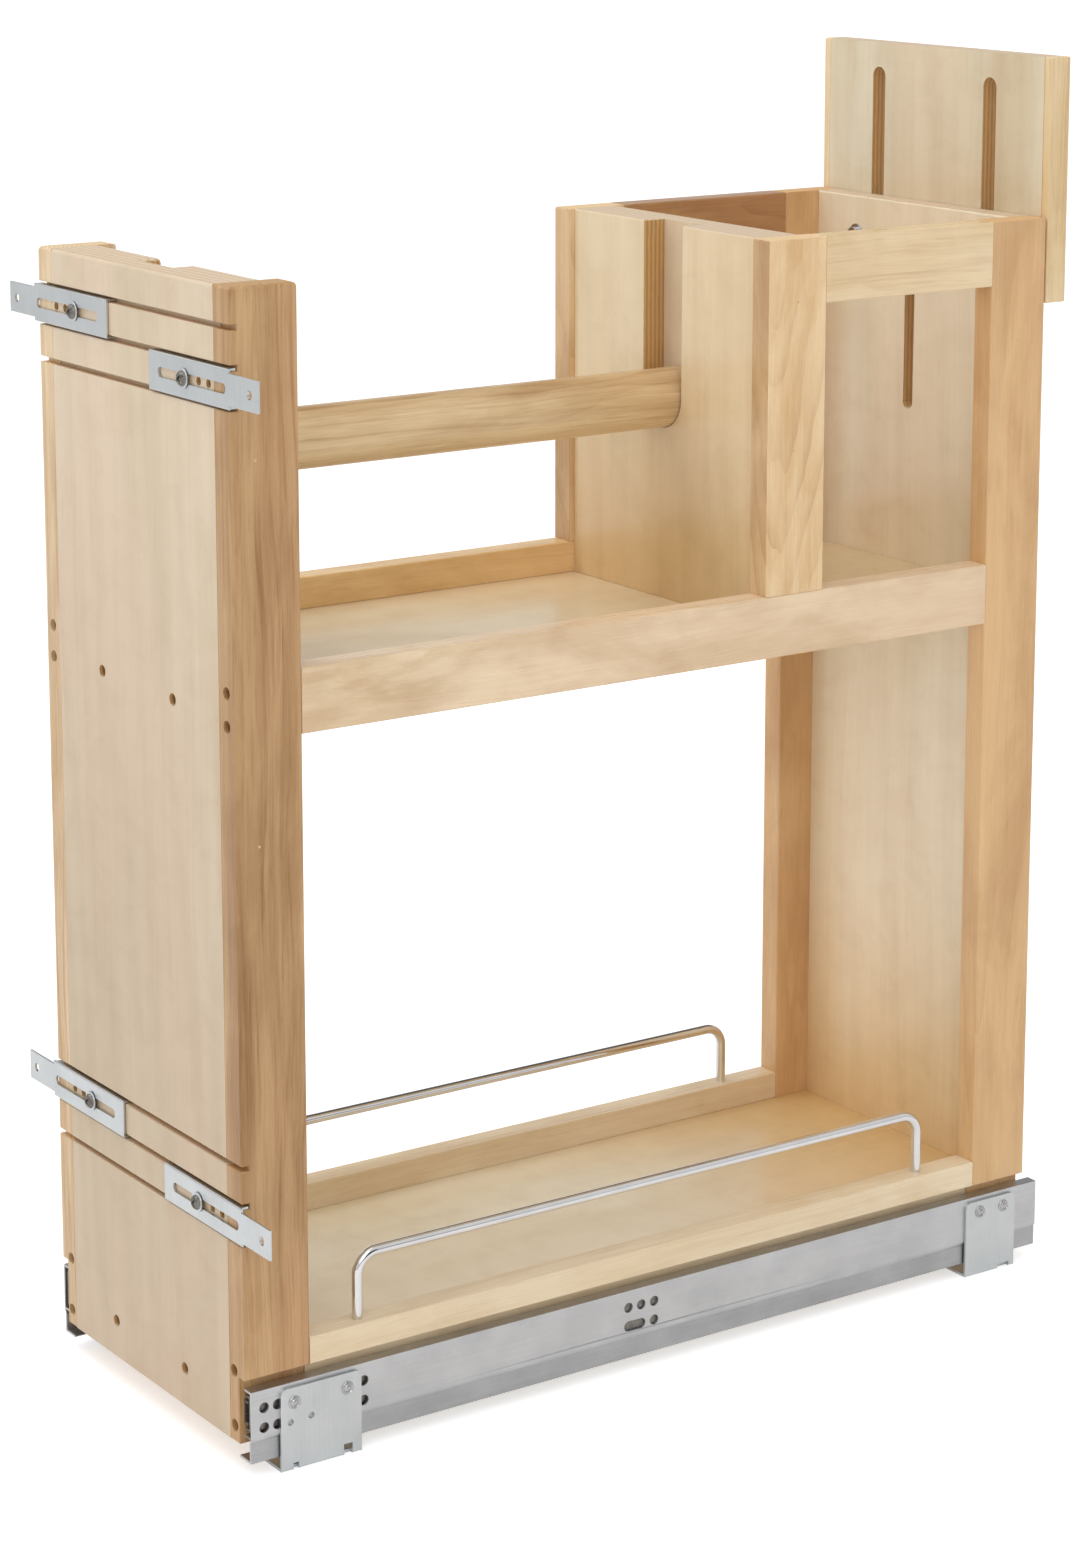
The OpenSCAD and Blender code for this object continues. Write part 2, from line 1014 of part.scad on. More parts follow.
// Two rows of balls above and below the member that spans low to high
module ball_rows(x, low, high, r) {
    for (y = BALL_Y)
        for (z = [low - ball_gap / 2, high + ball_gap / 2])
            translate([x, y, z])
                sphere(r = r);
}

module outer_ball_cages() {
    color(zinc_colour)
        placed()
            both_sides()
                difference() {
                    cage(outer_cage_x, outer_lip_x + 1, middle_low, middle_high);
                    ball_rows(outer_ball_x, middle_low, middle_high, ball_pocket_r);
                }
}

module outer_balls() {
    color(steel_colour)
        placed()
            both_sides()
                ball_rows(outer_ball_x, middle_low, middle_high, ball_r);
}

module inner_ball_cages() {
    color(zinc_colour)
        placed()
            both_sides()
                difference() {
                    cage(inner_cage_x, middle_tip_x, inner_low, inner_high);
                    ball_rows(inner_ball_x, inner_low, inner_high, ball_pocket_r);
                }
}

module inner_balls() {
    color(steel_colour)
        placed()
            both_sides()
                ball_rows(inner_ball_x, inner_low, inner_high, ball_r);
}

// Angle bracket: plate on the slide's face and foot on the cabinet floor
module cabinet_bracket(y, w, rivets, spares, notches) {
    color(zinc_colour)
        placed()
            difference() {
                union() {
                    block(
                        [slide_face_x, y, foot_z],
                        [bracket_x, y + w, bracket_top - bracket_corner]
                    );
                    block(
                        [slide_face_x, y + bracket_corner, bracket_top - bracket_corner],
                        [bracket_x, y + w - bracket_corner, bracket_top]
                    );
                    for (end = [y + bracket_corner, y + w - bracket_corner])
                        bar_x(
                            slide_face_x, end, bracket_top - bracket_corner,
                            bracket_corner, bracket_t
                        );
                    block(
                        [bracket_x - bracket_foot, y, foot_z],
                        [bracket_x, y + w, foot_z + bracket_t]
                    );
                }
                cross_holes(rivets, rivet_hole_r);
                cross_holes(spares, spare_hole_r);
                for (hole_y = [y + foot_hole_in, y + w - foot_hole_in])
                    translate([foot_hole_x, hole_y, foot_z - cut])
                        cylinder(r = foot_hole_r, h = bracket_t + 2 * cut);
                for (notch = notches)
                    block(
                        [slide_face_x - cut, y + notch[0], foot_z - cut],
                        [bracket_x + cut, y + notch[0] + notch[1], foot_z + notch[2]]
                    );
            }
}

module front_bracket() {
    cabinet_bracket(
        front_bracket_y, front_bracket_w, FRONT_RIVETS, FRONT_SPARES, FRONT_NOTCHES
    );
}

module rear_bracket() {
    cabinet_bracket(rear_bracket_y, rear_bracket_w, REAR_RIVETS, [], REAR_NOTCHES);
}

module cabinet_bracket_front_left() {
    left_side()
        front_bracket();
}

module cabinet_bracket_front_right() {
    front_bracket();
}

module cabinet_bracket_rear_left() {
    left_side()
        rear_bracket();
}

module cabinet_bracket_rear_right() {
    rear_bracket();
}

module bracket_rivets() {
    color(steel_colour)
        placed()
            both_sides()
                for (spot = concat(FRONT_RIVETS, REAR_RIVETS)) {
                    bar_x(outer_web_x, spot[0], spot[1], rivet_r, sheet + bracket_t);
                    bar_x(bracket_x, spot[0], spot[1], rivet_head_r, rivet_head_h);
                }
}

front_stile_left();
front_stile_right();
front_skin_ply();
front_slotted_ply();
divider_stile_left();
divider_stile_right();
divider_slotted_ply();
divider_back_ply();
rear_stile_left();
rear_stile_right();
rear_ply();
mid_rail_left();
mid_rail_right();
mid_shelf_ply();
base_rail_left();
base_rail_right();
base_floor_ply();
floor_cleats();
bin_rail_left();
bin_rail_right();
wire_guard_left();
wire_guard_right();
front_screws();
rear_screws();
towel_rod();
riser_ply();
riser_edge_left();
riser_edge_right();
riser_bolts();
riser_nuts();
door_bracket_upper_left();
door_bracket_upper_right();
door_bracket_lower_left();
door_bracket_lower_right();
door_bracket_screws();
door_bracket_washers();
slide_outer_left();
slide_outer_right();
slide_middle_left();
slide_middle_right();
slide_inner_left();
slide_inner_right();
slide_screws();
slide_end_stops();
outer_ball_cages();
outer_balls();
inner_ball_cages();
inner_balls();
cabinet_bracket_front_left();
cabinet_bracket_front_right();
cabinet_bracket_rear_left();
cabinet_bracket_rear_right();
bracket_rivets();
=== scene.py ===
import json
import math

import bmesh
import bpy
from mathutils import Euler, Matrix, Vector


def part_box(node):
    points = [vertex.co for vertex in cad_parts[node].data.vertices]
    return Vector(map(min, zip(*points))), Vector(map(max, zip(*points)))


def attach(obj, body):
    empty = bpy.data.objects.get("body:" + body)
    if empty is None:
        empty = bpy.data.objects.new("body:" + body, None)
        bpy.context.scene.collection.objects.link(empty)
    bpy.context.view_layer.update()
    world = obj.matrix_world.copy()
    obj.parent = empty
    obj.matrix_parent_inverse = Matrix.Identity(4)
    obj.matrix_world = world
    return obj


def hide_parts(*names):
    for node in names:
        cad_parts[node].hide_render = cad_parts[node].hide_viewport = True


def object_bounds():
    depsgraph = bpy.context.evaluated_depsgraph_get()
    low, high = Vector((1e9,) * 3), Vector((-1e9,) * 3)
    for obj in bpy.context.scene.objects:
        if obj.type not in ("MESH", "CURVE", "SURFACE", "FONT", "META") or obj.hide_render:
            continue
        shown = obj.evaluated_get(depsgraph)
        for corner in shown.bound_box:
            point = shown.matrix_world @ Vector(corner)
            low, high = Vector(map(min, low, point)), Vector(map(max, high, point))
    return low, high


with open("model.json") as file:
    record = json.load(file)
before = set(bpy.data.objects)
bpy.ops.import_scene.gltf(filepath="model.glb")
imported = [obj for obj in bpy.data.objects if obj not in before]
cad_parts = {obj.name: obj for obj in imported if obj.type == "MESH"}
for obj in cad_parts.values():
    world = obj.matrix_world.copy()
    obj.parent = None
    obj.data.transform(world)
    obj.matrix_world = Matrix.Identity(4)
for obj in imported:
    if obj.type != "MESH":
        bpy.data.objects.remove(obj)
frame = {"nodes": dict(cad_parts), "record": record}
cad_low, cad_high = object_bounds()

MM = 0.001
NODES = frame["nodes"]
RECORD = frame["record"]
BODY_OF = {
    node: body for body, nodes in RECORD["behaviour"]["bodies"].items() for node in nodes
}
SLOT_OF = {part["node"]: part["material_slot"] for part in RECORD["subparts"]}
SIDES = ("left", "right")


# Materials ---------------------------------------------------------------------------


def srgb(red, green, blue):
    """A colour given as on a screen, 0 to 255, in the linear values that shaders take."""
    def linear(value):
        value /= 255
        return value / 12.92 if value <= 0.04045 else ((value + 0.055) / 1.055) ** 2.4

    return (linear(red), linear(green), linear(blue), 1.0)


class NodeTree:
    """A tree of shader nodes as it is put together."""

    def __init__(self, tree):
        self.tree = tree
        tree.nodes.clear()

    def node(self, kind, inputs=None, **settings):
        """A new node. Inputs are numbers, colours or the sockets of other nodes."""
        node = self.tree.nodes.new("ShaderNode" + kind)
        for name, value in settings.items():
            setattr(node, name, value)
        for name, value in (inputs or {}).items():
            if isinstance(value, bpy.types.NodeSocket):
                self.tree.links.new(value, node.inputs[name])
            else:
                node.inputs[name].default_value = value
        return node

    def place(self, scale=(1, 1, 1), turn=(0, 0, 0), shift=(0, 0, 0)):
        """Where a point is on the object, scaled, then turned, then shifted."""
        where = self.node("TexCoord").outputs["Object"]
        mapping = self.node(
            "Mapping", {"Vector": where, "Scale": scale, "Rotation": turn, "Location": shift}
        )
        return mapping.outputs[0]

    def stretched(self, vector, scale):
        return self.node("Mapping", {"Vector": vector, "Scale": scale}).outputs[0]

    def noise(self, vector, scale, detail=2.0, roughness=0.5, distortion=0.0):
        return self.node(
            "TexNoise",
            {"Vector": vector, "Scale": scale, "Detail": detail,
             "Roughness": roughness, "Distortion": distortion},
        ).outputs["Fac"]

    def ranged(self, value, low, high, to_low=0.0, to_high=1.0):
        return self.node(
            "MapRange",
            {"Value": value, "From Min": low, "From Max": high,
             "To Min": to_low, "To Max": to_high},
        ).outputs[0]

    def maths(self, operation, first, second=0.0, third=0.0):
        node = self.node("Math", operation=operation)
        for socket, value in zip(node.inputs, (first, second, third)):
            if isinstance(value, bpy.types.NodeSocket):
                self.tree.links.new(value, socket)
            else:
                socket.default_value = value
        return node.outputs[0]

    def mix(self, factor, first, second, blend="MIX"):
        node = self.node("Mix", data_type="RGBA", blend_type=blend)
        for name, value in (("Factor", factor), ("A", first), ("B", second)):
            socket = next(
                s for s in node.inputs
                if s.name == name and s.type == ("VALUE" if name == "Factor" else "RGBA")
            )
            if isinstance(value, bpy.types.NodeSocket):
                self.tree.links.new(value, socket)
            else:
                socket.default_value = value
        return next(s for s in node.outputs if s.type == "RGBA")


class Shader(NodeTree):
    """A node material as it is put together, with a Principled shader at its end."""

    def __init__(self, name, **sockets):
        self.material = bpy.data.materials.new(name)
        self.material.use_nodes = True
        super().__init__(self.material.node_tree)
        self.end = self.node("OutputMaterial")
        self.surface = self.node("BsdfPrincipled")
        self.tree.links.new(self.surface.outputs[0], self.end.inputs["Surface"])
        for socket, value in sockets.items():
            self.surface.inputs[socket.replace("_", " ")].default_value = value

    def set(self, socket, value):
        self.tree.links.new(value, self.surface.inputs[socket])

    def bump(self, height, strength, distance):
        bump = self.node(
            "Bump", {"Height": height, "Strength": strength, "Distance": distance}
        )
        self.set("Normal", bump.outputs[0])


# What the darker parts of the grain keep of the colour of the wood round them
UMBER = (0.60, 0.46, 0.33, 1.0)

# Turns that bring each grain direction onto a texture's Z axis
GRAIN_TURN = {
    "x": Euler((0, -math.pi / 2, 0)),
    "y": Euler((math.pi / 2, 0, 0)),
    "z": Euler((0, 0, 0)),
}
AXES = "xyz"

# A wave texture of scale 1 repeats after this many metres
WAVE_PERIOD = 0.314

# How far the grain drifts to either side of straight, and how often
DRIFT = 22 * MM
DRIFTS_PER_METRE = 16.0


def along(grain, stretch):
    """Scale that draws a texture out along the grain."""
    return tuple(stretch if axis == grain else 1.0 for axis in AXES)


class Wood(Shader):
    """A wood shader. Its textures start at the middle of a board, with the grain along Z."""

    def __init__(self, name, node, grain, seed):
        super().__init__(name)
        low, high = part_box(node)
        turn = GRAIN_TURN[grain]
        middle_of_board = turn.to_matrix() @ Vector((low + high) / 2)
        self.seed = seed
        self.darker = None
        straight = self.place(turn=turn, shift=-middle_of_board)
        drift = self.node(
            "TexNoise",
            {"Vector": self.stretched(straight, (1, 1, 0.22)), "W": 3.7 * seed,
             "Scale": DRIFTS_PER_METRE, "Detail": 2.0},
            noise_dimensions="4D",
        )
        sway = self.node(
            "VectorMath", {0: drift.outputs["Color"], 1: (0.5, 0.5, 0.5)}, operation="SUBTRACT"
        )
        self.at = self.node(
            "VectorMath",
            {0: sway.outputs[0], 1: (DRIFT, DRIFT, 0.0), 2: straight},
            operation="MULTIPLY_ADD",
        ).outputs[0]

    def grain_noise(self, offset, stretch, size_mm, detail=2.0, roughness=0.5, warp=0.0):
        """Noise with features of that size across the grain, drawn out along it."""
        step = self.seed + offset
        shift = (0.71 * step, 0.43 * step, 0.37 * step)
        vector = self.node(
            "Mapping", {"Vector": self.at, "Scale": (1, 1, stretch), "Location": shift}
        ).outputs[0]
        return self.noise(vector, 1 / (size_mm * MM), detail, roughness, warp)

    def growth_rings(self, heart, lean, ring_mm, profile, wander, reach=0.11):
        """Growth rings round a heart beside the board; lean makes them run out in arches."""
        vector = self.node(
            "Mapping",
            {"Vector": self.at, "Scale": (1, 1, reach), "Rotation": (0, lean, 0),
             "Location": (heart[0] * MM, heart[1] * MM, 0.31 * self.seed)},
        ).outputs[0]
        return self.node(
            "TexWave",
            {"Vector": vector, "Scale": WAVE_PERIOD / (ring_mm * MM), "Distortion": wander,
             "Detail": 3.0, "Detail Scale": 0.5, "Detail Roughness": 0.6},
            wave_type="RINGS", rings_direction="Z", wave_profile=profile,
        ).outputs["Fac"]

    def darken(self, texture, low, high, share):
        """Lets a texture take away some light where it is high."""
        amount = self.ranged(texture, low, high, 0.0, share)
        self.darker = amount if self.darker is None else self.maths("ADD", self.darker, amount)

    def stain(self, base):
        shade = self.mix(1.0, base, UMBER, "MULTIPLY")
        self.set("Base Color", self.mix(self.darker, base, shade))


def solid_wood(name, node, tone, grain, seed, figure=0.5, ring_mm=9.0, streak=0.5,
               mottle=0.3, zone_mm=30, heart=(-30, 6), lean=0.5, reach=0.11, zoned=0.35):
    """Lacquered hardwood. Long zones of three tones carry growth rings, streaks, threads,
    fibre, curl and pores, each as a little darkening of the wood under it."""
    light, dark, cast = tone
    wood = Wood(name, node, grain, seed)
    zones = wood.grain_noise(5, 0.05, zone_mm, 3.0, 0.55)
    clouds = wood.grain_noise(7, 0.40, 55, 5.0, 0.62, 0.5)
    hue = wood.grain_noise(8, 0.20, 60)
    shade = wood.maths("MULTIPLY", wood.ranged(clouds, 0.41, 0.60), 1.0 - zoned)
    shade = wood.maths("MULTIPLY_ADD", wood.ranged(zones, 0.38, 0.62), zoned, shade)
    base = wood.mix(shade, light, dark)
    base = wood.mix(wood.ranged(hue, 0.45, 0.65, 0.0, 0.7), base, cast)

    rings = wood.growth_rings(heart, lean, ring_mm, "SAW", 9.0, reach)
    late = wood.maths("POWER", rings, 3.0)
    fade = wood.ranged(wood.grain_noise(11, 0.3, 45), 0.38, 0.62, 0.1, 1.0)
    streaks = wood.grain_noise(3, 0.03, 4, 4.0, 0.66, 0.5)
    fibre = wood.grain_noise(0, 0.022, 1.1, 3.0, 0.6)
    threads = wood.grain_noise(15, 0.025, 2.4, 3.0, 0.65, 0.4)
    curl = wood.grain_noise(13, 0.55, 38, 5.0, 0.60, 0.7)
    wood.darken(wood.maths("MULTIPLY", late, fade), 0.0, 1.0, 0.5 * figure)
    wood.darken(streaks, 0.48, 0.74, 0.60 * streak)
    wood.darken(fibre, 0.40, 0.75, 0.12)
    wood.darken(threads, 0.50, 0.68, 0.34 * streak)
    wood.darken(curl, 0.45, 0.78, 0.5 * mottle)
    wood.darken(wood.grain_noise(9, 0.045, 1.7), 0.66, 0.80, 0.18 + 0.18 * streak)
    wood.stain(base)
    wood.set("Roughness", wood.ranged(streaks, 0.3, 0.7, 0.24, 0.36))
    wood.bump(wood.maths("MULTIPLY_ADD", late, -0.3, fibre), 0.05, 0.10 * MM)
    return wood.material


def veneer(name, node, tone, grain, seed, figure=0.5, zoned=0.55, lined=1.0, deeper=None):
    """The face of a plywood board: wide pink and grey-green zones under faint fine lines.
    The last argument gives two places along the grain, in mm, and a tint that grows between
    them: painted shade, which darkens the veneer towards the end of the board that gets less
    light."""
    light, dark, cast = tone
    wood = Wood(name, node, grain, seed)
    zones = wood.grain_noise(4, 0.10, 55, 2.0, 0.5, 0.3)
    clouds = wood.grain_noise(2, 0.6, 120, 3.0, 0.5, 0.4)
    hue = wood.grain_noise(6, 0.22, 75)
    shade = wood.maths("MULTIPLY", wood.ranged(clouds, 0.38, 0.62), 1.0 - zoned)
    shade = wood.maths("MULTIPLY_ADD", wood.ranged(zones, 0.40, 0.60), zoned, shade)
    base = wood.mix(shade, light, dark)
    base = wood.mix(wood.ranged(hue, 0.44, 0.60, 0.0, 0.9), base, cast)

    rings = wood.growth_rings((-20, 12), 0.7, 21, "SIN", 13.0)
    fibre = wood.grain_noise(0, 0.02, 1.0, 3.0, 0.6)
    lines = wood.grain_noise(1, 0.03, 6, 4.0, 0.6)
    ripple = wood.grain_noise(8, 1.3, 30, 4.0, 0.6, 0.6)
    wood.darken(rings, 0.0, 1.0, 0.16 * figure)
    wood.darken(lines, 0.45, 0.75, 0.10 * lined)
    wood.darken(ripple, 0.45, 0.78, 0.16)
    wood.darken(fibre, 0.40, 0.75, 0.05 * lined)
    wood.darken(wood.grain_noise(9, 0.05, 1.8), 0.71, 0.82, 0.12 * lined)
    # Painted shade: between the two places the colour is multiplied more and more by the tint,
    # standing in for light that falls off towards the lower end of upright boards and into the
    # back corners.
    if deeper:
        start, end, tint = deeper
        length = wood.node("SeparateXYZ", {0: wood.at}).outputs["Z"]
        painted_shade_colour = wood.mix(1.0, base, (*tint, 1.0), "MULTIPLY")
        base = wood.mix(wood.ranged(length, start * MM, end * MM), base, painted_shade_colour)
    wood.stain(base)
    wood.set("Roughness", wood.ranged(zones, 0.3, 0.7, 0.20, 0.28))
    wood.bump(fibre, 0.02 * lined, 0.06 * MM)
    return wood.material


def ply_edge(name, light, dark, across, layer_mm=3.0, seed=1):
    """The cut edge of plywood: thin layers across the sheet, every second one end grain."""
    wood = Shader(name, Specular_IOR_Level=0.35)
    turn = {"x": (0, 0, 0), "y": (0, 0, -math.pi / 2), "z": (0, math.pi / 2, 0)}[across]
    layers_at = wood.place((1, 1, 1), turn, (0.31 * seed, 0, 0))
    layers = wood.node(
        "TexWave",
        {"Vector": layers_at, "Scale": WAVE_PERIOD / (layer_mm * MM), "Distortion": 0.8,
         "Detail": 2.0, "Detail Scale": 0.8},
        wave_type="BANDS", bands_direction="X", wave_profile="SIN",
    ).outputs["Fac"]
    grit = wood.noise(wood.stretched(layers_at, (1, 0.12, 0.12)), 900.0, 3.0, 0.6)
    amount = wood.ranged(layers, 0.25, 0.75, 0.0, 0.7)
    amount = wood.maths("MULTIPLY_ADD", wood.ranged(grit, 0.3, 0.7), 0.35, amount)
    wood.set("Base Color", wood.mix(amount, light, dark))
    wood.set("Roughness", wood.ranged(grit, 0.3, 0.7, 0.5, 0.66))
    wood.bump(grit, 0.25, 0.15 * MM)
    return wood.material


def end_grain(name, light, dark, grain, seed):
    """The sawn end of a solid board: close rings and open pores."""
    wood = Shader(name, Specular_IOR_Level=0.35)
    at = wood.place(turn=GRAIN_TURN[grain], shift=(0.05, 0.075 + 0.011 * seed, 0))
    rings = wood.node(
        "TexWave",
        {"Vector": at, "Scale": WAVE_PERIOD / (2.4 * MM), "Distortion": 2.0, "Detail": 2.0,
         "Detail Scale": 0.4},
        wave_type="RINGS", rings_direction="Z", wave_profile="SAW",
    ).outputs["Fac"]
    pores = wood.noise(at, 1500.0, 2.0)
    amount = wood.maths("MULTIPLY", rings, 0.5)
    amount = wood.maths("MULTIPLY_ADD", wood.ranged(pores, 0.35, 0.7), 0.45, amount)
    wood.set("Base Color", wood.mix(amount, light, dark))
    wood.set("Roughness", wood.ranged(pores, 0.3, 0.7, 0.5, 0.65))
    wood.bump(pores, 0.2, 0.1 * MM)
    return wood.material


def plated_steel(name, light, dark, rough, lines="y", spangle=0.0, seed=1, metallic=1.0):
    """Sheet steel with a zinc coat: rolling lines, cloudy patches and faint crystals."""
    steel = Shader(name, Metallic=metallic)
    where = steel.place(shift=(0.1 * seed, 0.07 * seed, 0.13 * seed))
    rolled = steel.noise(
        steel.stretched(where, along(lines, 0.02)), 1100.0, 2.0, 0.6
    )
    clouds = steel.noise(where, 34.0, 3.0, 0.6)
    crystals = steel.node(
        "TexVoronoi", {"Vector": where, "Scale": 260.0}, feature="F1"
    ).outputs["Color"]
    crystal = steel.node("SeparateColor", {"Color": crystals}).outputs[0]
    amount = steel.maths("MULTIPLY", steel.ranged(clouds, 0.3, 0.7), 0.55)
    amount = steel.maths("MULTIPLY_ADD", steel.ranged(rolled, 0.3, 0.7), 0.3, amount)
    amount = steel.maths("MULTIPLY_ADD", crystal, spangle, amount)
    steel.set("Base Color", steel.mix(amount, light, dark))
    steel.set("Roughness", steel.ranged(amount, 0.0, 1.0, rough - 0.06, rough + 0.10))
    steel.bump(rolled, 0.10, 0.05 * MM)
    return steel.material


def chrome(name):
    """Bright plated wire with the faintest draw lines."""
    metal = Shader(name, Metallic=1.0)
    where = metal.place()
    drawn = metal.noise(metal.stretched(where, along("y", 0.03)), 900.0, 2.0)
    haze = metal.noise(where, 60.0, 2.0)
    metal.set("Base Color", metal.mix(haze, srgb(236, 235, 235), srgb(216, 215, 217)))
    metal.set("Roughness", metal.ranged(drawn, 0.3, 0.7, 0.03, 0.09))
    metal.bump(drawn, 0.05, 0.03 * MM)
    return metal.material


def dull_metal(name, light, dark, rough=0.5, metallic=0.85):
    """Dull, grainy small parts, such as blackened screws. Filler has metallic 0."""
    metal = Shader(name, Metallic=metallic)
    where = metal.place()
    grain = metal.noise(where, 700.0, 3.0, 0.6)
    metal.set("Base Color", metal.mix(metal.ranged(grain, 0.3, 0.7), light, dark))
    metal.set("Roughness", metal.ranged(grain, 0.3, 0.7, rough - 0.1, rough + 0.1))
    metal.bump(grain, 0.15, 0.05 * MM)
    return metal.material


def rubber(name):
    """Matt dark moulded rubber."""
    skin = Shader(name)
    grain = skin.noise(skin.place(), 1400.0, 2.0)
    skin.set("Base Color", skin.mix(grain, srgb(38, 38, 38), srgb(58, 57, 55)))
    skin.set("Roughness", skin.ranged(grain, 0.3, 0.7, 0.7, 0.85))
    skin.bump(grain, 0.2, 0.05 * MM)
    return skin.material


# Wood tones as the lacquered wood shows them: light, dark and the cast of some patches
BROWN = (srgb(212, 174, 126), srgb(168, 126, 79), srgb(208, 163, 118))
TAN = (srgb(232, 192, 140), srgb(208, 164, 114), srgb(228, 192, 148))
ORANGE = (srgb(248, 220, 176), srgb(220, 178, 124), srgb(242, 214, 174))
CREAM = (srgb(244, 222, 182), srgb(226, 196, 146), srgb(242, 218, 182))
SAND = (srgb(247, 225, 188), srgb(198, 160, 112), srgb(236, 208, 166))
HONEY = (srgb(230, 204, 160), srgb(188, 148, 98), srgb(222, 194, 156))
HAZEL = (srgb(228, 196, 152), srgb(188, 148, 102), srgb(218, 180, 134))
STRAW = (srgb(246, 228, 196), srgb(230, 206, 168), srgb(244, 225, 194))
RED = (srgb(206, 164, 114), srgb(154, 108, 66), srgb(190, 142, 98))
YELLOW = (srgb(246, 212, 156), srgb(220, 180, 120), srgb(240, 206, 154))
BEIGE = (srgb(232, 215, 187), srgb(216, 198, 167), srgb(228, 206, 179))
AMBER = (srgb(240, 223, 190), srgb(218, 194, 152), srgb(236, 213, 176))
GOLDEN = (srgb(247, 235, 210), srgb(237, 219, 186), srgb(245, 227, 198))
PALE = (srgb(244, 235, 212), srgb(232, 217, 186), srgb(242, 228, 202))
OATEN = (srgb(232, 222, 196), srgb(216, 198, 164), srgb(230, 212, 182))
FLAXEN = (srgb(244, 222, 188), srgb(216, 186, 146), srgb(236, 208, 174))
EDGE = (srgb(208, 168, 112), srgb(176, 134, 82))
PALE_EDGE = (srgb(224, 204, 178), srgb(208, 182, 150))

MATERIALS = {
    "galvanised_steel": plated_steel(
        "galvanised_sheet", srgb(208, 209, 211), srgb(190, 191, 193), 0.38, spangle=0.06
    ),
    "zinc_plate": plated_steel(
        "zinc_sheet", srgb(214, 217, 218), srgb(200, 204, 206), 0.38, lines="z", seed=4
    ),
    "bright_steel": plated_steel(
        "turned_steel", srgb(206, 206, 208), srgb(160, 160, 164), 0.26, seed=7
    ),
    "dark_screw": dull_metal("blackened_steel", srgb(108, 92, 76), srgb(60, 50, 42)),
    "wire_chrome": chrome("chromed_wire"),
    "stop_rubber": rubber("moulded_rubber"),
}


# Pieces ------------------------------------------------------------------------------


def finish(piece, node, *others):
    """Lets a piece stand for one or more CAD nodes, on the same body."""
    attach(piece, BODY_OF[node])
    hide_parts(node, *others)
    return piece


def new_object(name, shape):
    """A new object in the scene that takes over a bmesh."""
    mesh = bpy.data.meshes.new(name)
    shape.to_mesh(mesh)
    shape.free()
    item = bpy.data.objects.new(name, mesh)
    bpy.context.scene.collection.objects.link(item)
    return item


def add_materials(piece, materials):
    for material in materials:
        piece.data.materials.append(material)


def whole_faces(node):
    """The node's shape as a bmesh, with the triangles of each flat face joined."""
    shape = bmesh.new()
    shape.from_mesh(NODES[node].data)
    bmesh.ops.remove_doubles(shape, verts=shape.verts, dist=0.002 * MM)
    bmesh.ops.dissolve_limit(
        shape, angle_limit=math.radians(0.6), verts=shape.verts, edges=shape.edges
    )
    for edge in shape.edges:
        edge.smooth = edge.calc_face_angle(0) < math.radians(32)
    for face in shape.faces:
        face.smooth = True
    return shape


def on_side(edge, side, low, high):
    """True if the edge lies on that side, such as "+z", of the box."""
    axis = AXES.index(side[1])
    level = (high if side[0] == "+" else low)[axis]
    return all(abs(vert.co[axis] - level) < 0.02 * MM for vert in edge.verts)


ALL_SIDES = [sign + axis for sign in "-+" for axis in AXES]


def eased_piece(node, radius, width=3.0, segments=3, sharpest=40):
    """A copy of the node's shape whose edges are rounded as radius(edge, sides) says, in mm.
    Only edges that stick out by more than the angle sharpest count."""
    shape = whole_faces(node)
    low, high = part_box(node)
    weight = shape.edges.layers.float.new("bevel_weight_edge")
    for edge in shape.edges:
        sharp = edge.calc_face_angle_signed(0) > math.radians(sharpest)
        sides = [side for side in ALL_SIDES if on_side(edge, side, low, high)]
        edge[weight] = min(radius(edge, sides) / width, 1.0) if sharp else 0.0
    piece = new_object(node + "_finished", shape)
    bevel = piece.modifiers.new("rounded edges", "BEVEL")
    bevel.width = width * MM
    bevel.segments = segments
    bevel.limit_method = "WEIGHT"
    bevel.use_clamp_overlap = False
    bevel.harden_normals = True
    bevel.miter_outer = "MITER_ARC"
    return finish(piece, node)


HAIRLINE = 0.35
SMALL_HOLE_EDGE = 2.5 * MM


def board(node, materials, joined="", radius=1.0, top=None, free=()):
    """A wooden board with eased edges. Sides in joined are glued to a neighbour, so that
    edges on them keep only a hairline, apart from the pairs of sides in free."""
    glued = joined.split()

    def rounding(edge, sides):
        if edge.calc_length() < SMALL_HOLE_EDGE:
            return 0.0
        pair = tuple(sorted(sides))
        if len(sides) == 2 and pair in [tuple(sorted(p)) for p in free]:
            return radius
        if any(side in glued for side in sides):
            return HAIRLINE
        if top is not None and "+z" in sides:
            return top
        return radius if len(sides) == 2 else HAIRLINE * 1.5

    piece = eased_piece(node, rounding)
    add_materials(piece, [material for material, _ in materials])
    for face in piece.data.polygons:
        for index, (_, takes) in enumerate(materials):
            if takes(face.normal):
                face.material_index = index
    return piece


def facing(axis):
    """Whether a face looks along an axis, either way."""
    index = AXES.index(axis)
    return lambda normal: abs(normal[index]) > 0.9


def everywhere(_normal):
    return True


def not_facing(axis):
    index = AXES.index(axis)
    return lambda normal: abs(normal[index]) < 0.5


def upward(normal):
    return normal.z > 0.9


def frontward(normal):
    return normal.y < -0.9


def side_names(text, side):
    """Sides written for the right-hand part, as they are for this side."""
    if side == "right":
        return text
    swap = {"-x": "+x", "+x": "-x"}
    return " ".join(swap.get(word, word) for word in text.split())


LOOKS = ("figure", "ring_mm", "streak", "mottle", "zone_mm", "heart", "lean", "reach", "zoned")


